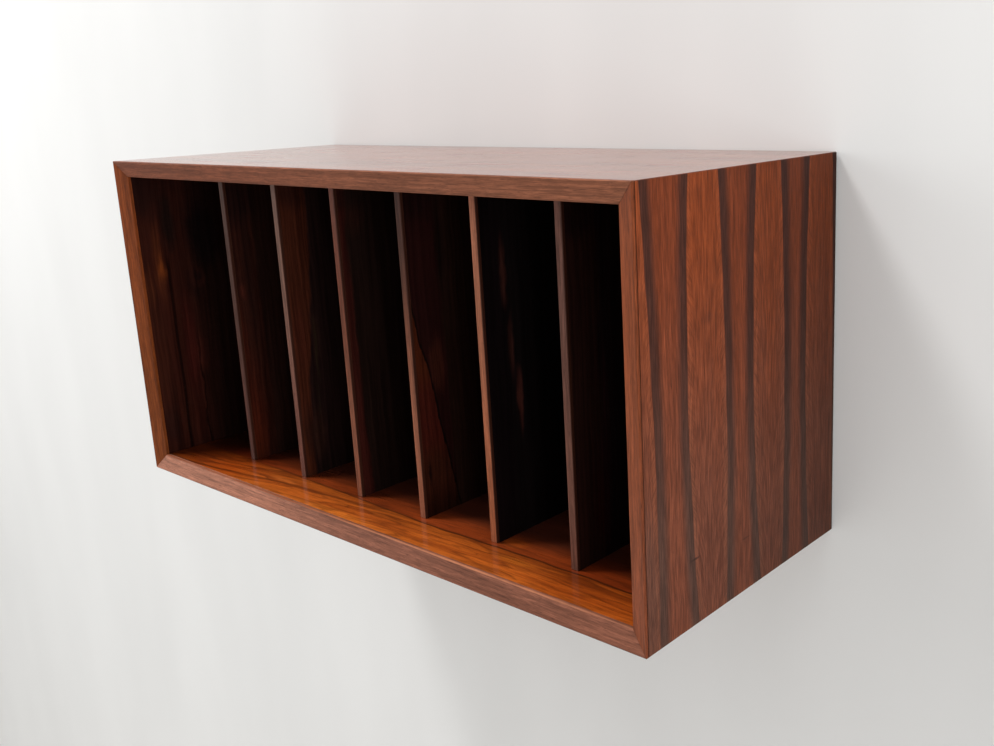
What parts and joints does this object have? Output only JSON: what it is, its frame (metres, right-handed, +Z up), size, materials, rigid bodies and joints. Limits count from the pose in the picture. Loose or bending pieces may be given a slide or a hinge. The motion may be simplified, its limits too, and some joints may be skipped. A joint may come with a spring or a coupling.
{
  "type": "record storage stand",
  "caption": "Wall-hung open record cabinet of dark figured wood with mitred, bevelled front edges and upright dividers that form narrow bays for sleeves.",
  "frame": {"origin": "middle of the underside of the cabinet", "axes": "+X along the width, to the right as seen from the front; +Y towards the wall, so the open front faces -Y; +Z up"},
  "size_m": [0.8, 0.315, 0.39],
  "materials": {
    "top_veneer": "satin-lacquered dark red-brown veneer, grain along the length",
    "bottom_veneer": "satin-lacquered orange-brown veneer, grain along the length",
    "side_veneer": "satin-lacquered red-brown veneer with dark upright stripes",
    "divider_veneer": "satin-lacquered dark figured veneer, upright grain",
    "back_veneer": "dark veneer inside, plain dark wood behind",
    "solid_strip": "satin solid wood edge strip, grain along its length",
    "rail_wood": "plain planed light wood",
    "tongue_wood": "plain thin wood",
    "zinc_steel": "zinc-plated sheet",
    "screw_steel": "yellowed zinc-plated wood screw"
  },
  "bodies": {
    "root": {"top_board": "top_veneer", "bottom_board": "bottom_veneer", "left_side": "side_veneer", "right_side": "side_veneer", "top_front_strip": "solid_strip", "bottom_front_strip": "solid_strip", "left_front_strip": "solid_strip", "right_front_strip": "solid_strip", "corner_tongue_top_left": "tongue_wood", "corner_tongue_top_right": "tongue_wood", "corner_tongue_bottom_left": "tongue_wood", "corner_tongue_bottom_right": "tongue_wood", "divider_1": "divider_veneer", "divider_strip_1": "solid_strip", "divider_2": "divider_veneer", "divider_strip_2": "solid_strip", "divider_3": "divider_veneer", "divider_strip_3": "solid_strip", "divider_4": "divider_veneer", "divider_strip_4": "solid_strip", "divider_5": "divider_veneer", "divider_strip_5": "solid_strip", "divider_6": "divider_veneer", "divider_strip_6": "solid_strip", "back_panel": "back_veneer", "hanging_rail": "rail_wood", "spacer_rail": "rail_wood", "hanger_plate_left": "zinc_steel", "hanger_plate_right": "zinc_steel", "hanging_rail_screw_1": "screw_steel", "hanging_rail_screw_2": "screw_steel", "hanging_rail_screw_3": "screw_steel", "hanging_rail_screw_4": "screw_steel", "spacer_rail_screw_1": "screw_steel", "spacer_rail_screw_2": "screw_steel", "spacer_rail_screw_3": "screw_steel", "spacer_rail_screw_4": "screw_steel", "panel_screw_left_1": "screw_steel", "panel_screw_left_2": "screw_steel", "panel_screw_right_1": "screw_steel", "panel_screw_right_2": "screw_steel", "hanger_screw_1": "screw_steel", "hanger_screw_2": "screw_steel", "hanger_screw_3": "screw_steel", "hanger_screw_4": "screw_steel"}
  },
  "joints": []
}
